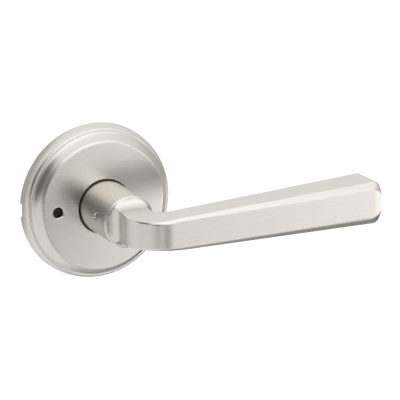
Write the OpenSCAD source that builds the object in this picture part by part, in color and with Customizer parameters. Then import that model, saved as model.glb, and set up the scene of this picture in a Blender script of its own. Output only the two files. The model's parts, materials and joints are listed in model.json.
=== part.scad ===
// Privacy door lever: the outside half of a door lever set, with its rose, mechanism and lever.
// The door face is the plane y = 0 and the lever stands off it towards -Y. Its tip points along +X.
// The origin is on the spindle's axis at the door face. All lengths are millimetres.
//
// Inside the modules everything is drawn lying on its back: x is right, y is up along the door,
// and z is the height off the door face. on_door() stands the result up against the door.

/* [Rose] */
// Diameter of the rose
rose_d = 66.7; // [64:0.1:72]
// Sheet thickness of the rose
rose_wall = 0.9; // [0.7:0.1:1.0]
// Height of the rose's rounded rim
rim_h = 5.1; // [4.4:0.1:5.4]
// Radius of the crease where the cove meets the dome
crease_r = 27.9; // [27.4:0.1:28.6]
// Height of that crease above the door
crease_h = 10.7; // [10.4:0.1:11.2]
// Height of the dome at its centre, were it not pierced
dome_h = 11.5; // [11.3:0.1:12]
// Radius of the opening for the neck
opening_r = 11.9; // [11.85:0.05:12.2]
// Distance of the emergency release hole from the spindle's axis
release_x = 20.9; // [20:0.1:22]
// Radius of the emergency release hole
release_hole_r = 2.25; // [1.5:0.05:2.4]

/* [Lever] */
// Radius of the lever's neck at its lip
neck_r = 11; // [10.8:0.1:11.1]
// Radius of the neck at its inner end, with the casting's draft
neck_base_r = 11.25; // [11.1:0.05:11.3]
// Height of the neck's lip above the door
lip_h = 35.9; // [34:0.1:37]
// Height of the lever's front face above the door
front_h = 60.25; // [59:0.05:63]
// Distance from the spindle's axis to the tip
tip_x = 105.65; // [96:0.05:112]
// Height of the grip along the door, at the spindle's axis
grip_root = 12.94; // [12:0.02:14]
// Height of the grip along the door, at the tip
grip_tip = 18.55; // [16:0.05:20]
// Thickness of the grip where it leaves the bend
grip_thick_root = 11; // [10.6:0.1:12]
// Thickness of the grip at the tip
grip_thick_tip = 16.5; // [15:0.1:18]
// Radius of the coves under the lip
cove_r = 3.9; // [3.5:0.1:4.1]
// Radius of the bend from the neck into the grip
bend_r = 11.2; // [10.5:0.1:11.5]

/* [Mechanism] */
// Outer radius of the drive sleeve
sleeve_r = 8.5; // [8.4:0.05:8.6]
// Turn of the lever each way, in degrees
turn_max = 50; // [40:1:55]
// Spacing of the two through-bolt posts
post_spacing = 38.1; // [38.1:0.1:39]
// Depth of the posts into the door
post_depth = 24; // [16:1:26]
// Radius of the threaded hole in each post
post_thread_r = 1.65; // [1.5:0.05:2]
// Length of spindle behind the door face
spindle_depth = 50; // [40:1:54]

/* [Hidden] */
$fn = 96;
eps = 0.02;
fit = 0.05; // radial clearance of a running fit

// rose
rose_r = rose_d / 2;
rim_round = 2;
cove_foot_r = rose_r - 2.35;
notch_w = 5.6;
notch_h = 2;

// plate and what is fixed to it
plate_r = 30.6;
plate_t = 2.2;
bush_r = 10;
bush_back = -5.2;
hub_r = 12.4;
clip_count = 3;
clip_angle = 14;
post_r = 3.3;
post_head_r = 4;
post_head_h = 1.2;

// spring cage
cage_r = 14.8;
cage_bore_r = 13.9;
cage_floor = 0.8;
cage_top = 9;
cover_t = 0.6;
cover_skirt = 2.4;
ear_x = 18.2;
ear_r = 2.6;
ear_angles = [35, 145, 215, 325];
screw_r = 1.1;
floor_h = plate_t + cage_floor; // inside floor of the cage

// cam and springs
cam_bottom = floor_h + 0.7;
cam_top = 8.7;
cam_r = 10.4;
lug_r = 13.6;
lug_top = 5.1;
lug_w = 3.7;
stop_r = 1.2;
stop_at = 12.6;
stop_angle = turn_max + asin((lug_w / 2 + stop_r) / stop_at) + 0.6;
wire_r = 0.5;
coil_r = 12.2;
leg_r = 13.3;
coil_low = 5.75;
coil_pitch = 1.2;
leg_angle = asin((lug_w / 2 + wire_r + 0.1) / leg_r);

// sleeve and spindle
sleeve_bore = 6.9;
sleeve_back = -8;
sleeve_front = 31;
adapter_front = 18;
spindle_r = 3.6;
spindle_flat = 1.9; // the bar's flat is this far above its axis
spindle_front = 17;
pin_h = 14; // height of the cross pin
pin_r = 1;
pin_angle = 90; // turns the cross pin upright, clear of the key
ring_groove_r = 7.9;
ring_front = -5.9;
ring_t = 1;

// neck and catch
neck_back = cage_top + cover_t + 0.3;
key_w = 2.4;
catch_angle = 172;
catch_h = 26.3;
nub_r = 1;
catch_r = 1.8;
nub_tip = neck_r - 0.4;
catch_shoulder = sqrt(pow(sleeve_bore, 2) - pow(catch_r, 2)) - 0.05;
catch_back = 3.2;
carrier_back = 21;

// lever
root_left = 6.05; // half widths of the root block, left and right of the axis
root_right = 6;
root_flare = 0.93; // the left side leans out by this much up to its crease
bend_x = bend_r - root_left - root_flare + 0.1; // centre of the bend's arc
left_crease_h = front_h - bend_r - 1.9;
inner_fillet = 5.1;
tip_round = 3.2;
bevel_root = [1.13, 1.04]; // depth down the front face and drop behind it, at the spindle's axis
bevel_tip = [2.6, 2.4]; // the same at the tip
cove_end = lip_h + cove_r;

// emergency release
plunger_r = 1.25;
plunger_head_r = 2.9;
plunger_top = 9.2;
plunger_head_t = 1.6;
plunger_end = -6.5;
guide_r = 3;
guide_flange_r = 3.9;
guide_flange_t = 0.8;

function half_grip(x) = (grip_root + (grip_tip - grip_root) * x / tip_x) / 2;
function dome(r) = dome_h - (dome_h - crease_h) * pow(r / crease_r, 2);
function arc(c, r, a0, a1, n) = [for (i = [0:n]) let (a = a0 + (a1 - a0) * i / n) c + r * [cos(a), sin(a)]];

// frames carried along a path, for the wire springs
function unit(v) = v / norm(v);
function tangents(p) = [for (i = [0:len(p) - 1]) unit(p[min(i + 1, len(p) - 1)] - p[max(i - 1, 0)])];
function turned(n, a, b) =
    let (k = cross(a, b), s = norm(k))
    s < 1e-6 ? n : n * (a * b) + cross(k, n) + k * (k * n) / (1 + a * b);
function normals(t, n, i = 0) =
    concat([n], i + 1 < len(t) ? normals(t, turned(n, t[i], t[i + 1]), i + 1) : []);

// Stands a module's drawing up against the door.
module on_door() {
    rotate([90, 0, 0]) children();
}

// A tube or ring from height h0 to height h1.
module tube(outer, inner, h0, h1) {
    translate([0, 0, h0]) difference() {
        cylinder(r = outer, h = h1 - h0);
        translate([0, 0, -1]) cylinder(r = inner, h = h1 - h0 + 2);
    }
}

// A rod from height h0 to height h1, standing at [x, y].
module rod(r, h0, h1, at = [0, 0]) {
    translate([at.x, at.y, h0]) cylinder(r = r, h = h1 - h0);
}

// A rod along the direction of angle a at height h, from radius r0 to radius r1.
module radial_rod(r, a, h, r0, r1) {
    rotate([0, 0, a]) translate([r0, 0, h]) rotate([0, 90, 0]) cylinder(r = r, h = r1 - r0);
}

// A wire of radius r swept along a path.
module wire(path, r, sides = 8) {
    t = tangents(path);
    n = normals(t, unit(cross(t[0], abs(t[0].z) < 0.9 ? [0, 0, 1] : [1, 0, 0])));
    last = len(path) - 1;
    points = [for (i = [0:last]) let (b = cross(t[i], n[i]))
        for (k = [0:sides - 1]) let (a = 360 * k / sides) path[i] + r * (cos(a) * n[i] + sin(a) * b)];
    walls = [for (i = [0:last - 1]) for (k = [0:sides - 1]) let (j = (k + 1) % sides)
        [i * sides + k, (i + 1) * sides + k, (i + 1) * sides + j, i * sides + j]];
    caps = [[for (k = [0:sides - 1]) k], [for (k = [sides - 1:-1:0]) last * sides + k]];
    polyhedron(points, concat(walls, caps));
}

// ---- fixed trim ----

// The rose's section: a thin shell with a straight rim, a ledge, a cove and a shallow dome.
module rose_section() {
    rim_corner = [rose_r - rim_round, rim_h - rim_round];
    outside = concat(
        [[rose_r, 0]],
        arc(rim_corner, rim_round, 0, 90, 5),
        arc([cove_foot_r + 0.3, rim_h + 1.5], 1.5, 262, 205, 5),
        [for (i = [0:8]) let (r = crease_r + (opening_r - crease_r) * i / 8) [r, dome(r)]]);
    inside = concat(
        [for (i = [8:-1:0]) let (r = crease_r - 0.6 + (opening_r - crease_r + 0.6) * i / 8)
            [r, dome(r) - rose_wall]],
        [[cove_foot_r - 1.5, rim_h - 0.1], [rose_r - rose_wall, rim_h - rose_wall - 0.2],
            [rose_r - rose_wall, 0]]);
    polygon(concat(outside, inside));
}

module rose() {
    color("silver") on_door() difference() {
        rotate_extrude() rose_section();
        rod(release_hole_r, 6, 14, [-release_x, 0]);
        // pry slot in the back edge of the rim
        translate([-rose_r - 1, -notch_w / 2, -1]) cube([4, notch_w, notch_h + 1]);
    }
}

module neck_ring() {
    color("black") on_door() {
        tube(opening_r - 0.05, neck_base_r + fit, neck_back + 0.3, dome(opening_r) - 0.7);
        tube(14, opening_r - 0.05, neck_back + 0.05, dome(14) - rose_wall - 0.05);
        tube(opening_r - 0.05 + eps, neck_base_r + fit, neck_back + 0.05, neck_back + 0.35);
    }
}

module mounting_plate() {
    color("gainsboro") on_door() difference() {
        union() {
            rod(plate_r, 0, plate_t);
            rod(hub_r, bush_back, eps);
        }
        rod(bush_r + eps, bush_back - 1, plate_t + 1);
        for (side = [-1, 1]) rod(post_r + eps, -1, plate_t + 1, [0, side * post_spacing / 2]);
        rod(guide_r + eps, -1, plate_t + 1, [-release_x, 0]);
        for (a = ear_angles) rod(screw_r + eps, -1, plate_t + 1, ear_x * [cos(a), sin(a)]);
    }
}

// Bent clips round the plate's edge, which grip the inside of the rose's rim.
module rose_clips() {
    color("lightsteelblue") on_door() for (i = [0:clip_count - 1]) rotate([0, 0, 30 + 120 * i]) {
        rotate([0, 0, -clip_angle / 2]) rotate_extrude(angle = clip_angle) {
            translate([28, plate_t + eps]) square([4.2, 0.5]);
            translate([31.7, 0.6]) square([0.5, plate_t]);
        }
    }
}

module mounting_posts() {
    color("lightgrey") on_door() for (side = [-1, 1]) translate([0, side * post_spacing / 2, 0]) {
        difference() {
            union() {
                rod(post_r, -post_depth, -eps);
                rod(post_r, -1, plate_t + eps);
                rod(post_head_r, plate_t + eps, plate_t + post_head_h);
            }
            rod(post_thread_r, -post_depth - 1, -6);
        }
    }
}

module hub_bush() {
    color("dimgray") on_door() {
        difference() {
            union() {
                rod(bush_r, bush_back, floor_h + 0.2);
                rod(11.3, floor_h + eps, floor_h + 0.6);
            }
            rod(sleeve_r + fit, bush_back - 1, floor_h + 2);
        }
    }
}

module spring_cage() {
    tab_low = lug_top + 0.2;
    color("silver") on_door() {
        difference() {
            union() {
                rod(cage_r, plate_t + eps, cage_top);
                for (a = ear_angles) linear_extrude_between(plate_t + eps, floor_h) {
                    rotate([0, 0, a]) translate([12, -ear_r]) square([ear_x - 12, 2 * ear_r]);
                    translate(ear_x * [cos(a), sin(a)]) circle(r = ear_r);
                }
            }
            rod(cage_bore_r, floor_h, cage_top + 1);
            rod(bush_r + 0.05, 0, cage_top);
            for (a = ear_angles) rod(screw_r + 0.05, 0, cage_top, ear_x * [cos(a), sin(a)]);
        }
        // fixed tab that holds the spring's idle leg
        intersection() {
            tube(cage_r - 0.2, coil_r + wire_r + 0.2, tab_low, cage_top);
            translate([-lug_w / 2, 5, tab_low]) cube([lug_w, 20, cage_top - tab_low]);
        }
    }
}

module linear_extrude_between(h0, h1) {
    translate([0, 0, h0]) linear_extrude(h1 - h0) children();
}

module cage_screws() {
    color("goldenrod") on_door() for (a = ear_angles) translate([ear_x * cos(a), ear_x * sin(a), 0]) {
        difference() {
            union() {
                rod(screw_r, -1.5, floor_h + eps);
                rod(2, floor_h + eps, floor_h + 1.3);
            }
            // crosshead recess
            for (t = [0, 90]) rotate([0, 0, a + t]) translate([-1.2, -0.25, floor_h + 0.6])
                cube([2.4, 0.5, 2]);
        }
    }
}

module spring_cover() {
    color("silver") on_door() difference() {
        rod(cage_r + 0.65, cage_top - cover_skirt, cage_top + cover_t);
        rod(cage_r + eps, cage_top - cover_skirt - 1, cage_top);
        rod(sleeve_r + 0.5, 0, cage_top + 2);
    }
}

// Torsion spring: two turns, with both legs stepped outside the coil and bent down beside the tabs.
module return_spring() {
    first = 90 + leg_angle;
    sweep_a = 720 - 2 * leg_angle;
    steps = 56;
    blend = 14; // degrees over which the wire steps out from coil to leg
    leg_end = cam_bottom + 0.1;
    coil = [for (i = [0:steps]) let (
            t = i / steps, a = first + sweep_a * t,
            edge = min(sweep_a * t, sweep_a * (1 - t)) / blend,
            r = coil_r + (leg_r - coil_r) * pow(max(0, 1 - edge), 2))
        [r * cos(a), r * sin(a), coil_low + coil_pitch * sweep_a / 360 * t]];
    low_leg = [for (h = [leg_end, coil_low - 0.9, coil_low - 0.3]) [coil[0].x, coil[0].y, h]];
    top = coil[steps];
    high_leg = [for (h = [top.z - 0.3, top.z - 0.9, leg_end]) [top.x, top.y, h]];
    color("dimgray") on_door() wire(concat(low_leg, coil, high_leg), wire_r);
}

module stop_pins() {
    color("lightgrey") on_door() for (side = [-1, 1]) rotate([0, 0, 270 + side * stop_angle])
        rod(stop_r, floor_h + eps, lug_top, [stop_at, 0]);
}

module spring_washer() {
    washer_h = 0.45;
    gap = bush_back - ring_front;
    color("darkgray") on_door() rotate_extrude() polygon([
        [sleeve_r + 0.1, ring_front + 0.05], [sleeve_r + 0.1, ring_front + washer_h],
        [11.8, bush_back - 0.05], [11.8, bush_back - gap + 0.25]]);
}

module release_guide() {
    color("white") on_door() translate([-release_x, 0, 0]) difference() {
        union() {
            rod(guide_r, -2, plate_t + eps);
            rod(guide_flange_r, plate_t + eps, plate_t + guide_flange_t);
        }
        rod(plunger_r + fit, -3, plate_t + 2);
    }
}

// ---- turning parts ----

module drive_cam() {
    color("darkgray") on_door() {
        tube(cam_r, sleeve_r + eps, cam_bottom, cam_top);
        for (side = [0, 180]) rotate([0, 0, side]) intersection() {
            tube(lug_r, cam_r - 0.3, cam_bottom, lug_top);
            translate([-lug_w / 2, 5, 0]) cube([lug_w, 12, 10]);
        }
    }
}

module drive_sleeve() {
    color("lightgrey") on_door() difference() {
        rod(sleeve_r, sleeve_back, sleeve_front);
        rod(sleeve_bore, sleeve_back - 1, sleeve_front + 1);
        tube(sleeve_r + 1, ring_groove_r, ring_front - ring_t - 0.05, ring_front + 0.02);
        radial_rod(nub_r + 0.1, catch_angle, catch_h, 5, 12);
        radial_rod(pin_r + eps, pin_angle, pin_h, -12, 12);
        // keyway that the lever's key slides into
        translate([5, -key_w / 2 - fit, neck_back - 1]) cube([5, key_w + 2 * fit, sleeve_front]);
    }
}

module retaining_ring() {
    color("dimgray") on_door() difference() {
        tube(bush_r, ring_groove_r + 0.03, ring_front - ring_t, ring_front);
        translate([-2.5, -12, -10]) cube([5, 8, 8]);
    }
}

module spindle_adapter() {
    color("darkgray") on_door() difference() {
        rod(sleeve_bore - 0.03, sleeve_back, adapter_front);
        spindle_shape(sleeve_back - 1, spindle_front + 0.1, 0.05);
        radial_rod(pin_r + eps, pin_angle, pin_h, -12, 12);
    }
}

// A round bar with one flat, made larger all round by grow.
module spindle_shape(h0, h1, grow = 0) {
    difference() {
        rod(spindle_r + grow, h0, h1);
        translate([-10, spindle_flat + grow, h0 - 1]) cube([20, 10, h1 - h0 + 2]);
    }
}

module spindle() {
    color("lightgrey") on_door() difference() {
        spindle_shape(-spindle_depth, spindle_front);
        radial_rod(pin_r + eps, pin_angle, pin_h, -12, 12);
    }
}

module spindle_pin() {
    color("grey") on_door() radial_rod(pin_r, pin_angle, pin_h, 0.1 - sleeve_r, sleeve_r - 0.1);
}

module catch_carrier() {
    color("darkgray") on_door() difference() {
        rod(sleeve_bore - 0.03, carrier_back, sleeve_front);
        radial_rod(catch_r + 0.05, catch_angle, catch_h, -3, 12);
    }
}

module lever_catch() {
    color("grey") on_door() {
        radial_rod(catch_r, catch_angle, catch_h, catch_back, catch_shoulder);
        radial_rod(nub_r, catch_angle, catch_h, catch_shoulder - eps, nub_tip);
    }
}

// A compression spring's path: turns about +Z, with flat first and last turns.
function coil_path(r, h0, h1, turns, per_turn = 12) =
    [for (i = [0:turns * per_turn]) let (
            a = 360 * i / per_turn, t = i / (turns * per_turn),
            flat = 1 / turns, s = min(1, max(0, (t - flat / 2) / (1 - flat))))
        [r * cos(a), r * sin(a), h0 + (h1 - h0) * s]];

module catch_spring() {
    r = 0.22;
    back = -2.95;
    color("dimgray") on_door() rotate([0, 0, catch_angle]) translate([0, 0, catch_h]) rotate([0, 90, 0])
        wire(coil_path(1.3, back + r, catch_back - r - 0.05, 6), r, 6);
}

// The grip and root seen from above, as (x, height off the door).
module lever_plan() {
    back_root = front_h - grip_thick_root;
    back_tip = front_h - grip_thick_tip;
    fillet_x = root_right - 0.4 + inner_fillet;
    fillet_h = back_root - 0.15 - inner_fillet;
    difference() {
        union() {
            polygon([[bend_x, front_h], [tip_x, front_h], [tip_x, back_tip], [fillet_x, back_root],
                [fillet_x, fillet_h], [root_right - 0.4, fillet_h], [root_right, cove_end - 1],
                [-root_left, cove_end - 1], [-root_left - root_flare, left_crease_h],
                [bend_x, left_crease_h]]);
            intersection() {
                translate([bend_x, front_h - bend_r]) circle(r = bend_r);
                translate([bend_x - 20, left_crease_h]) square([20 + eps, 40]);
            }
        }
        translate([fillet_x, fillet_h]) circle(r = inner_fillet);
        translate([fillet_x, fillet_h - 10]) square([10, 10]);
    }
}

// The grip seen from the front: a slight wedge with rounded corners at the tip.
module lever_wedge() {
    near = tip_x - tip_round;
    inset = half_grip(tip_x) - tip_round;
    polygon([[-14, -half_grip(-14)], [near, -half_grip(near)], [near, half_grip(near)],
        [-14, half_grip(-14)]]);
    translate([near - 1, -inset]) square([tip_round + 1, 2 * inset]);
    for (side = [-1, 1]) translate([near, side * inset]) circle(r = tip_round);
}

// A square block of half widths a and b under the lip, hollowed by a cove on each side.
module coved(a, b) {
    top = lip_h + cove_r;
    difference() {
        translate([-a - cove_r, lip_h - eps]) square([a + b + 2 * cove_r, cove_r + 2 * eps]);
        translate([-a - cove_r, top]) circle(r = cove_r);
        translate([b + cove_r, top]) circle(r = cove_r);
    }
}

// The knife that cuts the flat bevel along the upper front edge; it widens towards the tip.
module bevel_knife() {
    low = [0, half_grip(0) - bevel_root[0], front_h];
    high = [0, half_grip(0), front_h - bevel_root[1]];
    low_tip = [tip_x, half_grip(tip_x) - bevel_tip[0], front_h];
    along = unit(low_tip - low);
    across = unit(high - low);
    out = unit(cross(along, across));
    over = cross(out, along);
    multmatrix([[along.x, over.x, out.x, low.x], [along.y, over.y, out.y, low.y],
            [along.z, over.z, out.z, low.z], [0, 0, 0, 1]])
        translate([-30, -20, 0]) cube([180, 60, 20]);
}

module lever() {
    color("silver") on_door() difference() {
        union() {
            translate([0, 0, neck_back]) cylinder(r1 = neck_base_r, r2 = neck_r, h = lip_h - neck_back);
            // transition: the round neck coved down to the square root
            intersection() {
                rod(neck_r - 0.5, lip_h - eps, cove_end + eps);
                rotate([90, 0, 90]) translate([0, 0, -15]) linear_extrude(30)
                    coved(half_grip(0), half_grip(0));
                rotate([90, 0, 0]) translate([0, 0, -15]) linear_extrude(30) coved(root_left, root_right);
            }
            difference() {
                intersection() {
                    rotate([90, 0, 0]) translate([0, 0, -15]) linear_extrude(30) lever_plan();
                    translate([0, 0, cove_end]) linear_extrude(30) lever_wedge();
                }
                bevel_knife();
                mirror([0, 1, 0]) bevel_knife();
            }
        }
        difference() {
            rod(sleeve_r + 0.05, neck_back - 1, sleeve_front + 0.5);
            // key
            translate([7, -key_w / 2, neck_back]) cube([5, key_w, sleeve_front - neck_back - 1]);
        }
        radial_rod(nub_r + 0.15, catch_angle, catch_h, 7, 14);
    }
}

// ---- emergency release ----

module release_plunger() {
    color("black") on_door() translate([-release_x, 0, 0]) difference() {
        union() {
            rod(plunger_r, plunger_end, plunger_top - plunger_head_t + eps);
            rod(plunger_head_r, plunger_top - plunger_head_t, plunger_top);
        }
        // cup that centres the release tool
        rod(1, plunger_top - 0.6, plunger_top + 1);
    }
}

module plunger_clip() {
    color("grey") on_door() translate([-release_x, 0, 0]) difference() {
        tube(2.5, plunger_r + eps, -2.8, -2.2);
        translate([-0.6, -4, -5]) cube([1.2, 4, 5]);
    }
}

module release_spring() {
    r = 0.25;
    color("dimgray") on_door() translate([-release_x, 0, 0])
        wire(coil_path(2, plate_t + guide_flange_t + r + 0.02, plunger_top - plunger_head_t - r - 0.02, 5),
            r, 6);
}

rose();
neck_ring();
mounting_plate();
rose_clips();
mounting_posts();
hub_bush();
spring_cage();
cage_screws();
spring_cover();
return_spring();
stop_pins();
drive_cam();
drive_sleeve();
spring_washer();
retaining_ring();
spindle_adapter();
spindle();
spindle_pin();
catch_carrier();
lever_catch();
catch_spring();
lever();
release_guide();
release_plunger();
plunger_clip();
release_spring();
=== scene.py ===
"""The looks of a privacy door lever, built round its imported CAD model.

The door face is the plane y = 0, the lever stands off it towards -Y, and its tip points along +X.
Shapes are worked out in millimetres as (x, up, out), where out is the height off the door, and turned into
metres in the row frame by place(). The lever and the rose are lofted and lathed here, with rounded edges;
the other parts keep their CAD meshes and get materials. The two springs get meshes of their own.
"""
import json
import math

import bmesh
import bpy
import numpy as np
from mathutils import Matrix, Vector


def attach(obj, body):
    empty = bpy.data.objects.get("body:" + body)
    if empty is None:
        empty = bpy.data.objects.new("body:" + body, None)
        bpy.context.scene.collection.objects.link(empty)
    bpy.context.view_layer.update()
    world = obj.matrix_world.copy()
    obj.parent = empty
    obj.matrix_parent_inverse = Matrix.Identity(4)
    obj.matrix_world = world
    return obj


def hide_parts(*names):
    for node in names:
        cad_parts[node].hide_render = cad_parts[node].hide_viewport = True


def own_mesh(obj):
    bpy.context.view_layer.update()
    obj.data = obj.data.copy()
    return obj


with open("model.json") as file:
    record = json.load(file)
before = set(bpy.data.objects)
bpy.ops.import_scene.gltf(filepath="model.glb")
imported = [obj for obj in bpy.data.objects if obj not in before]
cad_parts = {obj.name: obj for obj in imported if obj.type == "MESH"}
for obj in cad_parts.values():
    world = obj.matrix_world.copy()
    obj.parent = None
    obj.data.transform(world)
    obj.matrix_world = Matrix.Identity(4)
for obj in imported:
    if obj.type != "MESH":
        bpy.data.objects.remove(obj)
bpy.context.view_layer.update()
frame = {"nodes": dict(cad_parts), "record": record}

MM = 0.001
WHITE = 1.1              # strength of the white that the camera sees round the part
FLOOR_Z = -0.25          # the floor, in metres
FLOOR_SIZE = 6
SHARP_ANGLE = 35         # edges sharper than this stay crisp, in degrees
ROD_SIDES = 48
ROSE_SIDES = 240

# The camera: angles in degrees, distances in metres from the spindle's axis along and across the view
CAMERA_AZIMUTH = -27.255
CAMERA_ELEVATION = 16.926
CAMERA_BACK = 0.8
CAMERA_RIGHT = 0.04490
CAMERA_DOWN = 0.00029
CAMERA_LENS = 170.75

# The lever, in millimetres
NECK_BASE_R = 11.25      # radius of the neck at its inner end, drafting to NECK_R at the lip
NECK_R = 11.0
NECK_BORE = 8.6          # radius of the bore that takes the drive sleeve
NECK_BACK = 9.9          # height of the neck's inner end
BORE_END = 31.6
LIP_H = 35.9             # height of the neck's lip
LIP_ROUND = 0.75
COVE_R = 3.9             # coves between the round neck and the square root
ROOT_LEFT = 6.05         # half widths of the root
ROOT_RIGHT = 6.0
CREASE = (-6.98, 47.3)   # where the left face breaks into the bend
BEND_TO_X = 8.0          # where the bend runs out into the front face
FRONT_H = 60.25          # height of the front face
TIP_X = 105.2
TIP_ROUND = 2.9          # corner of the tip, seen from the front
TIP_DROP_SHARE = 0.1     # how much of the upper bevel's drop the end has
TIP_BEVEL_R = 4.5        # corner radius of the bevel where it turns down the end
GRIP_ROOT = 12.94        # height of the grip along the door, at the spindle's axis and at the tip
GRIP_TIP = 18.55
THICK_ROOT = 10.95       # thickness of the grip at the bend and at the tip
THICK_TIP = 16.5
FILLET = 5.1             # inside corner of the bend
GRIP_START = ROOT_RIGHT - 0.4 + FILLET   # where the straight grip takes over from the bend
BEND_LOW = (-5.9, 53.4)  # control points of the bend's outer curve, between CREASE and the front face
BEND_HIGH = (-1.2, FRONT_H)
BEVEL_ROOT = 0.7         # drop of the front bevels where the grip starts and at the tip
BEVEL_TIP = 2.4
WAIST = 0.55             # how much each edge of the bend is drawn in, half way round it
EDGE = 0.3               # rounding of the crisp edges
NECK_SQUARE = 2.2        # how much larger the neck's square sections are, so that the circle trims them
NECK_BLEND = 0.25        # width over which a section rounds into the neck's circle
CATCH_ANGLE = 172        # the hole for the lever catch, round the neck
CATCH_H = 26.3
CATCH_HOLE_R = 1.02
CATCH_CUT = (7, 14)      # radii between which that hole is cut, past both faces of the neck's wall

# The rose, in millimetres
ROSE_R = 33.35
RIM_R = 32.3             # where the rim's leaning wall turns over into the cove
RIM_H = 5.8
FOOT_R = 31.0            # foot of the cove
FOOT_H = 6.35
CREASE_R = 27.9
CREASE_H = 10.7
DOME_H = 11.5
OPENING_R = 11.8
ROSE_WALL = 0.9
RELEASE_X = 20.9
RELEASE_R = 2.25
NOTCH_W = 5.6
NOTCH_H = 2.0
NOTCH_REACH = 4          # length of the block that cuts the notch, half of it inside the rim
RELEASE_CUT = (6, 14)    # heights between which the release hole is cut
CHAMFER_DEEP = 0.25      # how far its chamfer goes below the dome
CHAMFER_TOP = 12.5       # height of the chamfer's cutter, and how much wider than the hole it is there
CHAMFER_FLARE = 1.6

# The studio: brightness from straight down to straight up, as (share of the way up, level)
ROOM = [(0.0, 1.05), (0.25, 0.97), (0.43, 0.94), (0.57, 0.92),
        (0.68, 1.0), (0.8, 1.05), (1.0, 1.15)]
# Round soft-edged patches of it, painted in order: (azimuth, elevation, radius, softness, level). Angles are
# in degrees, and azimuth 0 is +X and 90 is behind the door. The directions and first levels came from a fit
# of lights to the photo, and were then rounded and changed.
CARDS = [
    (-16, -33, 54, 25, 0.54),   # dim room low on the right
    (302, -37, 17, 8, 1.12),    # low reflector in front
    (315, -11, 14, 4, 1.75),    # low softbox in front
    (265, 33, 38, 25, 1.55),    # large softbox above the front
    (194, 23, 28, 5, 0.1),      # dark cards on the left
    (247, 5, 21, 4, 0.0),
    (277, -18, 9, 4, 0.1),
    (2, -36, 25, 6, 0.1),       # dark under the right side
    (27, -60, 19, 6, 0.35),
    (16, -17, 13, 3, 1.05),     # strip light off the tip
    (62, -20, 24, 8, 0.3),      # unlit room behind the door
    (116, 4, 34, 10, 0.5),      # dim wall behind the door
]


def place(x, up, out):
    """A point given in millimetres as (x, up, out), in metres in the row frame."""
    return Vector((x * MM, -out * MM, up * MM))


def half_grip(x):
    """Half the grip's height along the door, at x."""
    return (GRIP_ROOT + (GRIP_TIP - GRIP_ROOT) * x / TIP_X) / 2


# ---- mesh helpers ----

def add_object(name, mesh, material, body, replaced):
    """Puts a mesh in the scene as a piece that rides on a CAD body and stands for a CAD node."""
    piece = bpy.data.objects.new(name, mesh)
    bpy.context.scene.collection.objects.link(piece)
    piece.data.materials.append(material)
    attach(piece, body)
    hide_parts(replaced)
    return piece


def skin(name, rings, closed=False):
    """A smooth mesh through equal rings of points; its ends are capped unless it closes on itself."""
    count = len(rings[0])
    points = [p for ring in rings for p in ring]
    faces = []
    last = len(rings) if closed else len(rings) - 1
    for i in range(last):
        low, high = i * count, (i + 1) % len(rings) * count
        for k in range(count):
            after = (k + 1) % count
            faces.append((low + k, low + after, high + after, high + k))
    if not closed:
        faces.append(tuple(reversed(range(count))))
        faces.append(tuple(range((len(rings) - 1) * count, len(rings) * count)))
    mesh = bpy.data.meshes.new(name)
    mesh.from_pydata(points, [], faces)
    bm = bmesh.new()
    bm.from_mesh(mesh)
    bmesh.ops.recalc_face_normals(bm, faces=bm.faces)
    bm.to_mesh(mesh)
    bm.free()
    mesh.shade_smooth()
    mesh.set_sharp_from_angle(angle=math.radians(SHARP_ANGLE))
    return mesh


def rod_mesh(name, start, end, radius, end_radius=None):
    """A closed rod or cone from start to end."""
    axis = end - start
    turn = axis.to_track_quat("Z", "Y")
    rings = []
    for centre, r in ((start, radius), (end, end_radius or radius)):
        rings.append([centre + turn @ Vector((r * math.cos(a), r * math.sin(a), 0))
                      for a in (math.tau * k / ROD_SIDES for k in range(ROD_SIDES))])
    return skin(name, rings)


def cut(piece, *tools):
    """Cuts closed meshes out of a piece, for good."""
    for tool in tools:
        knife = bpy.data.objects.new("knife", tool)
        bpy.context.scene.collection.objects.link(knife)
        step = piece.modifiers.new("cut", "BOOLEAN")
        step.operation = "DIFFERENCE"
        step.solver = "EXACT"
        step.object = knife
        done = bpy.data.meshes.new_from_object(
            piece.evaluated_get(bpy.context.evaluated_depsgraph_get()))
        piece.modifiers.clear()
        piece.data = done
        bpy.data.objects.remove(knife)


def bezier(a, b, c, steps):
    """Points along the curve that rounds corner b between a and c."""
    out = []
    for i in range(steps + 1):
        t = i / steps
        out.append(a * (1 - t) ** 2 + b * (2 * t * (1 - t)) + c * t ** 2)
    return out


def cubic(a, b, c, d, t):
    """The point at t on the curve that leaves a towards b and reaches d from c."""
    s = 1 - t
    return a * s ** 3 + b * (3 * s * s * t) + c * (3 * s * t * t) + d * t ** 3


def crowded(count):
    """Fractions from 0 to 1, set closer together near both ends."""
    return [(1 - math.cos(math.pi * i / count)) / 2 for i in range(count + 1)]


# ---- the lever ----

def smooth_min(a, b, k):
    """The smaller of a and b, rounded where they are within k of each other."""
    h = max(0.0, min(1.0, 0.5 + 0.5 * (b - a) / k))
    return b + (a - b) * h - k * h * (1 - h)


def bevel_fall(depth, bevel, drop):
    """How far the front face falls back at a depth below its upper edge: a flat bevel with a soft end."""
    soft = 0.3
    t = depth / bevel
    if t < 1 - soft:
        return drop * (1 - t)
    if t < 1 + soft:
        return drop * (1 + soft - t) ** 2 / (4 * soft)
    return 0.0


def tip_fall(left, depth, bevel, drop):
    """The fall near the tip, left from the end face and depth below the edge: shallower down the end."""
    a, b = max(0.0, TIP_BEVEL_R - left), max(0.0, TIP_BEVEL_R - depth)
    distance = TIP_BEVEL_R - math.hypot(a, b) if a and b else min(left, depth)
    end_share = a * a / (a * a + b * b) if a or b else 0.0
    return bevel_fall(distance, bevel, drop) * (1 - (1 - TIP_DROP_SHARE) * end_share)


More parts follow.
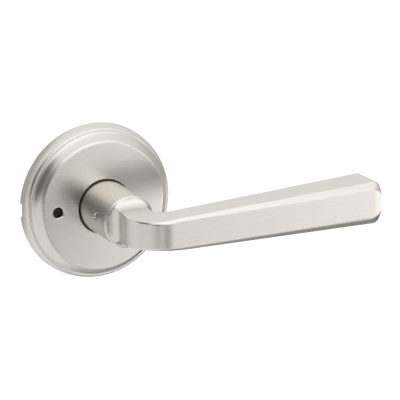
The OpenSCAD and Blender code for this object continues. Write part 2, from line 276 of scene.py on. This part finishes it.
def lever_ring(inner, outer, height, fall=None, bevel=0.8, waist=0.0, round_r=None):
    """One section of the lever, from inner to outer in the (x, out) plane.

    height gives half the section's height at x. fall gives how far the outer side falls back at a depth
    below its upper edge, and bevel is about the depth at which that ends. waist is how much the outer side
    is drawn in above and below. In the neck the section is trimmed to a circle of radius round_r.
    """
    inner, outer = Vector(inner), Vector(outer)
    width = (outer - inner).length
    along = (outer - inner) / width
    fall = fall or (lambda _: 0.0)

    def at(p, up):
        spot = inner + along * p
        return Vector((spot.x, up, spot.y))

    def top(p):
        return height((inner + along * p).x)

    upper = width - fall(0)
    half = []
    for f in [i / 11 for i in range(11)] + [0.965]:
        half.append(at(0, f * (top(0) - EDGE)))
    half += bezier(at(0, top(0) - EDGE), at(0, top(0)), at(EDGE, top(EDGE)), 5)
    for f in crowded(22)[1:-1]:
        p = EDGE + f * (upper - 2 * EDGE)
        half.append(at(p, top(p)))
    corner = at(upper, top(upper))
    depth = EDGE * 0.7
    below = at(width - fall(depth), top(width) - depth)
    half += bezier(at(upper - EDGE, top(upper - EDGE)), corner, below, 5)
    for f in (0.3, 0.5, 0.62, 0.72, 0.82, 0.92, 1.02, 1.12, 1.22, 1.32, 1.45, 1.7):
        d = max(bevel * f, depth * (1 + 0.3 * f))
        half.append(at(width - fall(d), top(width) - d))
    reach = half[-1].y
    for f in (0.8, 0.6, 0.4, 0.2, 0.0):
        half.append(at(width - fall(2 * TIP_BEVEL_R), reach * f))
    ring = half + [Vector((p.x, -p.y, p.z)) for p in reversed(half[1:-1])]
    for p in ring:
        share = (Vector((p.x, p.z)) - inner).dot(along) / width
        p.y *= 1 - waist * share ** 2 / top(width)
    if round_r:
        for p in ring:
            far = math.hypot(p.x, p.y)
            near = smooth_min(far, round_r, NECK_BLEND)
            p.x *= near / far
            p.y *= near / far
    return [place(*p) for p in ring]


def neck_rings():
    """The lever's sections from the bottom of its bore, round its inner end and up the neck to the lip."""
    rings = []

    def neck(h, r):
        rings.append(lever_ring((ROOT_RIGHT * NECK_SQUARE, h), (-ROOT_LEFT * NECK_SQUARE, h),
                                lambda _: half_grip(0) * NECK_SQUARE, round_r=r))

    for r in (EDGE, NECK_BORE - EDGE):
        neck(BORE_END, r)
    for h in (BORE_END, BORE_END - EDGE, NECK_BACK + EDGE, NECK_BACK):
        neck(h, NECK_BORE)
    neck(NECK_BACK, NECK_BASE_R - EDGE)
    draft = (NECK_BASE_R - NECK_R) / (LIP_H - NECK_BACK)
    for h in (NECK_BACK + EDGE, 13, 16, 19, 22, 25, 28, 31, 33.5, LIP_H - LIP_ROUND - EDGE):
        neck(h, NECK_BASE_R - draft * (h - NECK_BACK))
    for i in range(9):
        a = math.radians(90 * i / 8)
        neck(LIP_H - LIP_ROUND * (1 - math.sin(a)), NECK_R - LIP_ROUND * (1 - math.cos(a)))
    return rings


def bend_rings():
    """The sections down the coves to the square root, up the root and round the bend."""
    rings = []
    for i in range(1, 33):
        a = math.radians(90 * i / 32)
        spread = COVE_R * (1 - math.sin(a))
        h = LIP_H + COVE_R * (1 - math.cos(a))
        rings.append(lever_ring((ROOT_RIGHT + spread, h), (-ROOT_LEFT - spread, h),
                                lambda x, s=spread: half_grip(x) + s, round_r=NECK_R - LIP_ROUND))
    # root, with its left face flaring out to the crease
    root_h = LIP_H + COVE_R
    fillet = Vector((GRIP_START, FRONT_H - THICK_ROOT - FILLET))
    inner_from, inner_to = Vector((ROOT_RIGHT, root_h)), Vector((fillet.x - FILLET, fillet.y))
    outer_from, outer_to = Vector((-ROOT_LEFT, root_h)), Vector(CREASE)
    for f in (0.06, 0.2, 0.4, 0.6, 0.8, 0.94, 0.985):
        rings.append(lever_ring(inner_from.lerp(inner_to, f), outer_from.lerp(outer_to, f), half_grip))
    # bend: the inside follows the fillet while the outside sweeps up and over to the front face
    sweep = [Vector(p) for p in (CREASE, BEND_LOW, BEND_HIGH, (BEND_TO_X, FRONT_H))]
    steps = 48
    flat = (fillet.x - BEND_TO_X) / 24
    bend_share = 1 - flat
    for i in [0, 0.1, 0.3, 0.6] + list(range(1, steps + 1)):
        f = i / steps
        a = math.radians(180 - 88 * f)
        inner = fillet + FILLET * Vector((math.cos(a), math.sin(a)))
        if f < bend_share:
            outer = cubic(*sweep, f / bend_share)
        else:
            outer = Vector((BEND_TO_X + (fillet.x - BEND_TO_X) * (f - bend_share) / flat, FRONT_H))
        grow = min(1.0, max(0.0, (f - 0.15) / 0.75))
        ease = grow * grow * (3 - 2 * grow)
        bevel, drop = 0.5 + BEVEL_ROOT * ease, 0.05 + BEVEL_ROOT * ease
        rings.append(lever_ring(inner, outer, half_grip,
                                lambda d, b=bevel, w=drop: bevel_fall(d, b, w), bevel,
                                WAIST * math.sin(math.pi * f) ** 0.7))
    return rings


def grip_rings():
    """The sections along the grip, which widens towards the tip, and round the tip's corners to its end."""
    rings = []
    back_root = Vector((GRIP_START, FRONT_H - THICK_ROOT))
    back_tip = Vector((TIP_X, FRONT_H - THICK_TIP))
    stations = [GRIP_START + (TIP_X - 7 - GRIP_START) * i / 24 for i in range(1, 25)]
    stations += [TIP_X - left for left in (6, 5, 4.4, 3.9, 3.4)]
    stations += [TIP_X - TIP_ROUND * (1 - math.sin(math.radians(90 * i / 20))) for i in range(21)]
    for x in stations:
        f = (x - GRIP_START) / (TIP_X - GRIP_START)
        bevel = BEVEL_ROOT + 0.5 + (BEVEL_TIP - BEVEL_ROOT) * f
        drop = BEVEL_ROOT + (BEVEL_TIP - BEVEL_ROOT) * f
        left = TIP_X - x  # distance to the end face
        turn = max(0.0, 1 - left / TIP_ROUND)
        rounding = TIP_ROUND * (1 - math.sqrt(max(0.0, 1 - turn * turn)))
        rings.append(lever_ring((x, back_root.lerp(back_tip, f).y), (x, FRONT_H),
                                lambda _, r=rounding, x=x: half_grip(x) - r,
                                lambda d, b=bevel, w=drop, e=left: tip_fall(e, d, b, w), bevel))
    middle = sum(rings[-1], Vector()) / len(rings[-1])
    rings.append([middle + (p - middle) * 0.96 for p in rings[-1]])
    return rings


def make_lever(material):
    mesh = skin("lever_casting", neck_rings() + bend_rings() + grip_rings())
    piece = add_object("lever_casting", mesh, material, "lever_set", "lever")
    a = math.radians(CATCH_ANGLE)
    spoke = Vector((math.cos(a), math.sin(a)))
    near, far = (place(spoke.x * r, spoke.y * r, CATCH_H) for r in CATCH_CUT)
    cut(piece, rod_mesh("catch_hole", near, far, CATCH_HOLE_R * MM))


# ---- the rose ----

def dome(r):
    """Height of the rose's face at radius r."""
    return DOME_H - (DOME_H - CREASE_H) * (r / CREASE_R) ** 2


def rose_profile():
    """The rose's section as (radius, out), closed.

    It goes up the leaning rim, round its corner, up the cove to the crease, in over the dome to the opening,
    and back along the inside.
    """
    def curve(a, b, c, steps):
        return [tuple(p) for p in bezier(Vector(a), Vector(b), Vector(c), steps)]

    rim, foot = (RIM_R, RIM_H), (FOOT_R, FOOT_H)
    wall_top = (CREASE_R + 0.4, CREASE_H - 0.8)
    dome_edge = (CREASE_R - 1, dome(CREASE_R - 1))
    brink = dome(OPENING_R)
    points = [(ROSE_R - 0.12, 0), (ROSE_R, 0.12)]
    points += curve((ROSE_R, 0.4), (ROSE_R, RIM_H - 2.1), rim, 8)
    points += curve(rim, (RIM_R - 0.35, RIM_H + 0.7), foot, 8)[1:]
    points += curve(foot, (FOOT_R - 1.15, FOOT_H + 0.4), wall_top, 14)[1:]
    points += curve(wall_top, (CREASE_R + 0.05, CREASE_H + 0.05), dome_edge, 6)[1:]
    points += [(r, dome(r)) for r in np.linspace(CREASE_R - 1.5, OPENING_R + 0.5, 16)]
    points += curve((OPENING_R + 0.3, brink), (OPENING_R, brink), (OPENING_R, brink - 0.3), 4)
    points += [(r, dome(r) - ROSE_WALL) for r in np.linspace(OPENING_R, CREASE_R - 1, 8)]
    points += [(FOOT_R - ROSE_WALL, FOOT_H - 0.8), (ROSE_R - ROSE_WALL - 0.3, RIM_H - 1.5),
               (ROSE_R - ROSE_WALL, 0)]
    return points


def make_rose(material):
    angles = [math.tau * k / ROSE_SIDES for k in range(ROSE_SIDES)]
    rings = [[place(r * math.cos(a), r * math.sin(a), h) for a in angles] for r, h in rose_profile()]
    mesh = skin("rose_shell", rings, closed=True)
    piece = add_object("rose_shell", mesh, material, "trim", "rose")
    low, high = (place(-RELEASE_X, 0, h) for h in RELEASE_CUT)
    hole = rod_mesh("hole", low, high, RELEASE_R * MM)
    low, high = (place(-RELEASE_X, 0, h) for h in (dome(RELEASE_X) - CHAMFER_DEEP, CHAMFER_TOP))
    chamfer = rod_mesh("chamfer", low, high, RELEASE_R * MM, (RELEASE_R + CHAMFER_FLARE) * MM)
    # a block from 1 mm behind the door face up to the notch's height
    notch = bpy.data.meshes.new("notch")
    bm = bmesh.new()
    bmesh.ops.create_cube(bm, size=1, matrix=Matrix.Translation(place(-ROSE_R, 0, NOTCH_H / 2 - 0.5))
                          @ Matrix.Diagonal((NOTCH_REACH * MM, (NOTCH_H + 1) * MM, NOTCH_W * MM, 1)))
    bm.to_mesh(notch)
    bm.free()
    cut(piece, hole, chamfer, notch)


# ---- materials ----

def add_node(tree, kind, **inputs):
    node = tree.nodes.new(kind)
    for key, value in inputs.items():
        node.inputs[key].default_value = value
    return node


class Nodes:
    """A small wrapper that adds and links shader nodes."""

    def __init__(self, name):
        self.material = bpy.data.materials.new(name)
        self.material.use_nodes = True
        self.tree = self.material.node_tree
        self.shader = self.tree.nodes["Principled BSDF"]

    def add(self, kind, **inputs):
        return add_node(self.tree, kind, **inputs)

    def link(self, source, target):
        self.tree.links.new(source, target)


def stretched_noise(nodes, stretch, scale, detail):
    """Noise in object space, drawn out along one axis by a small scale there."""
    where = nodes.add("ShaderNodeTexCoord")
    mapping = nodes.add("ShaderNodeMapping")
    mapping.inputs["Scale"].default_value = stretch
    noise = nodes.add("ShaderNodeTexNoise", Scale=scale, Detail=detail, Roughness=0.6)
    nodes.link(where.outputs["Object"], mapping.inputs["Vector"])
    nodes.link(mapping.outputs["Vector"], noise.inputs["Vector"])
    return noise


def ranged(nodes, source, low, high):
    """A noise value spread from low to high."""
    spread = nodes.add("ShaderNodeMapRange")
    spread.inputs["From Min"].default_value = 0.3
    spread.inputs["From Max"].default_value = 0.7
    spread.inputs["To Min"].default_value = low
    spread.inputs["To Max"].default_value = high
    nodes.link(source, spread.inputs["Value"])
    return spread.outputs["Result"]


def metal(name, colour, rough, stretch=(12, 260, 260), bump=0.02, tint=0.06):
    """Brushed or plated metal: fine drawn-out streaks in tone, roughness and relief."""
    nodes = Nodes(name)
    nodes.shader.inputs["Metallic"].default_value = 1.0
    streaks = stretched_noise(nodes, stretch, 12.0, 6.0)
    cloud = stretched_noise(nodes, (60, 60, 60), 1.0, 2.0)
    mix = nodes.add("ShaderNodeMix")
    mix.data_type = "RGBA"
    dark = tuple(c * (1 - tint) for c in colour)
    light = tuple(min(1.0, c * (1 + tint)) for c in colour)
    mix.inputs["A"].default_value = (*dark, 1)
    mix.inputs["B"].default_value = (*light, 1)
    nodes.link(ranged(nodes, streaks.outputs["Fac"], 0, 1), mix.inputs["Factor"])
    nodes.link(mix.outputs["Result"], nodes.shader.inputs["Base Color"])
    add = nodes.add("ShaderNodeMath")
    add.operation = "ADD"
    nodes.link(ranged(nodes, streaks.outputs["Fac"], rough - 0.03, rough + 0.03), add.inputs[0])
    nodes.link(ranged(nodes, cloud.outputs["Fac"], -0.015, 0.015), add.inputs[1])
    nodes.link(add.outputs[0], nodes.shader.inputs["Roughness"])
    relief = nodes.add("ShaderNodeBump", Strength=bump, Distance=0.0002)
    nodes.link(streaks.outputs["Fac"], relief.inputs["Height"])
    nodes.link(relief.outputs["Normal"], nodes.shader.inputs["Normal"])
    return nodes.material


def plastic(name, colour, rough):
    """Moulded nylon with a fine grain."""
    nodes = Nodes(name)
    grain = stretched_noise(nodes, (1, 1, 1), 900.0, 3.0)
    mix = nodes.add("ShaderNodeMix")
    mix.data_type = "RGBA"
    mix.inputs["A"].default_value = (*(c * 0.85 for c in colour), 1)
    mix.inputs["B"].default_value = (*(min(1.0, c * 1.15) for c in colour), 1)
    nodes.link(grain.outputs["Fac"], mix.inputs["Factor"])
    nodes.link(mix.outputs["Result"], nodes.shader.inputs["Base Color"])
    spread = ranged(nodes, grain.outputs["Fac"], rough - 0.05, rough + 0.05)
    nodes.link(spread, nodes.shader.inputs["Roughness"])
    relief = nodes.add("ShaderNodeBump", Strength=0.15, Distance=0.0001)
    nodes.link(grain.outputs["Fac"], relief.inputs["Height"])
    nodes.link(relief.outputs["Normal"], nodes.shader.inputs["Normal"])
    return nodes.material


def make_materials():
    return {
        "satin_nickel": metal("satin_nickel", (0.675, 0.645, 0.60), 0.3),
        "zinc_plated_steel": metal("zinc_plated_steel", (0.60, 0.62, 0.65), 0.38, (60, 60, 60), 0.04, 0.1),
        "bright_steel": metal("bright_steel", (0.56, 0.56, 0.56), 0.3, (200, 20, 200)),
        "yellow_zinc_steel": metal("yellow_zinc_steel", (0.70, 0.58, 0.30), 0.35, (60, 60, 60), 0.04, 0.15),
        "spring_steel": metal("spring_steel", (0.16, 0.155, 0.15), 0.3, (80, 80, 80)),
        "die_cast_zinc": metal("die_cast_zinc", (0.48, 0.48, 0.49), 0.5, (70, 70, 70), 0.1, 0.08),
        "black_nylon": plastic("black_nylon", (0.012, 0.012, 0.012), 0.55),
        "white_nylon": plastic("white_nylon", (0.75, 0.74, 0.69), 0.45),
    }


def paint_cad_nodes(materials):
    """Gives every CAD node the material of its slot."""
    for part in frame["record"]["subparts"]:
        node = frame["nodes"][part["node"]]
        if not node.data.materials:
            node.data.materials.append(None)
        for slot in node.material_slots:
            slot.material = materials[part["material_slot"]]


def squash_springs():
    """Gives the springs of the release plunger and the lever catch meshes of their own."""
    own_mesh(frame["nodes"]["release_spring"])
    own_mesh(frame["nodes"]["catch_spring"])


# ---- camera and light ----

def make_camera():
    """A long lens in front of the door, to the lever's left and a little above it."""
    azimuth, elevation = math.radians(CAMERA_AZIMUTH), math.radians(CAMERA_ELEVATION)
    back = Vector((math.sin(azimuth) * math.cos(elevation), -math.cos(azimuth) * math.cos(elevation),
                   math.sin(elevation)))
    right = Vector((math.cos(azimuth), math.sin(azimuth), 0))
    up = back.cross(right)
    data = bpy.data.cameras.new("camera")
    data.sensor_width = 36
    data.lens = CAMERA_LENS
    camera = bpy.data.objects.new("camera", data)
    camera.location = right * CAMERA_RIGHT - up * CAMERA_DOWN + back * CAMERA_BACK
    camera.rotation_mode = "QUATERNION"
    camera.rotation_quaternion = Matrix((right, up, back)).transposed().to_quaternion()
    bpy.context.scene.collection.objects.link(camera)
    bpy.context.scene.camera = camera


def make_floor():
    """A pale floor that is pure white to the camera and dim to the metal."""
    mesh = bpy.data.meshes.new("floor")
    bm = bmesh.new()
    bmesh.ops.create_grid(bm, x_segments=1, y_segments=1, size=FLOOR_SIZE)
    bm.to_mesh(mesh)
    bm.free()
    floor = bpy.data.objects.new("floor", mesh)
    floor.location = (0, 0, FLOOR_Z)
    nodes = Nodes("floor")
    nodes.shader.inputs["Base Color"].default_value = (0.25, 0.25, 0.25, 1)
    nodes.shader.inputs["Roughness"].default_value = 0.9
    glow = nodes.add("ShaderNodeEmission", Strength=WHITE)
    path = nodes.add("ShaderNodeLightPath")
    mix = nodes.add("ShaderNodeMixShader")
    nodes.link(path.outputs["Is Camera Ray"], mix.inputs[0])
    nodes.link(nodes.shader.outputs[0], mix.inputs[1])
    nodes.link(glow.outputs[0], mix.inputs[2])
    nodes.link(mix.outputs[0], nodes.tree.nodes["Material Output"].inputs["Surface"])
    floor.data.materials.append(nodes.material)
    bpy.context.scene.collection.objects.link(floor)
    floor.visible_glossy = False
    floor.visible_diffuse = False


def make_world():
    """Studio surroundings: white to the camera, and a room with lights and dark cards to the metal."""
    world = bpy.data.worlds.new("studio")
    bpy.context.scene.world = world
    world.use_nodes = True
    tree = world.node_tree

    def add(kind, **inputs):
        return add_node(tree, kind, **inputs)

    where = add("ShaderNodeTexCoord")
    split = add("ShaderNodeSeparateXYZ")
    tree.links.new(where.outputs["Generated"], split.inputs[0])
    spread = add("ShaderNodeMapRange")
    spread.inputs["From Min"].default_value = -1
    tree.links.new(split.outputs["Z"], spread.inputs["Value"])
    ramp = add("ShaderNodeValToRGB")
    while len(ramp.color_ramp.elements) < len(ROOM):
        ramp.color_ramp.elements.new(0.5)
    for element, (position, level) in zip(ramp.color_ramp.elements, ROOM):
        element.position = position
        element.color = (level, level, level, 1)
    tree.links.new(spread.outputs["Result"], ramp.inputs["Fac"])
    colour = ramp.outputs["Color"]
    for azimuth, elevation, radius, soft, level in CARDS:
        a, e = math.radians(azimuth), math.radians(elevation)
        facing = add("ShaderNodeVectorMath")
        facing.operation = "DOT_PRODUCT"
        facing.inputs[1].default_value = (math.cos(e) * math.cos(a), math.cos(e) * math.sin(a), math.sin(e))
        tree.links.new(where.outputs["Generated"], facing.inputs[0])
        edge = add("ShaderNodeMapRange")
        edge.interpolation_type = "SMOOTHSTEP"
        edge.inputs["From Min"].default_value = math.cos(math.radians(radius + soft))
        edge.inputs["From Max"].default_value = math.cos(math.radians(max(0, radius - soft)))
        tree.links.new(facing.outputs["Value"], edge.inputs["Value"])
        mix = add("ShaderNodeMix")
        mix.data_type = "RGBA"
        mix.inputs["B"].default_value = (level, level, level, 1)
        tree.links.new(edge.outputs["Result"], mix.inputs["Factor"])
        tree.links.new(colour, mix.inputs["A"])
        colour = mix.outputs["Result"]
    tree.links.new(colour, tree.nodes["Background"].inputs["Color"])
    white = add("ShaderNodeBackground", Color=(1, 1, 1, 1), Strength=WHITE)
    path = add("ShaderNodeLightPath")
    mix = add("ShaderNodeMixShader")
    tree.links.new(path.outputs["Is Camera Ray"], mix.inputs[0])
    tree.links.new(tree.nodes["Background"].outputs[0], mix.inputs[1])
    tree.links.new(white.outputs[0], mix.inputs[2])
    tree.links.new(mix.outputs[0], tree.nodes["World Output"].inputs["Surface"])


bpy.context.scene.view_settings.view_transform = "Standard"
make_camera()
make_floor()
make_world()

materials = make_materials()
paint_cad_nodes(materials)
squash_springs()
make_lever(materials["satin_nickel"])
make_rose(materials["satin_nickel"])
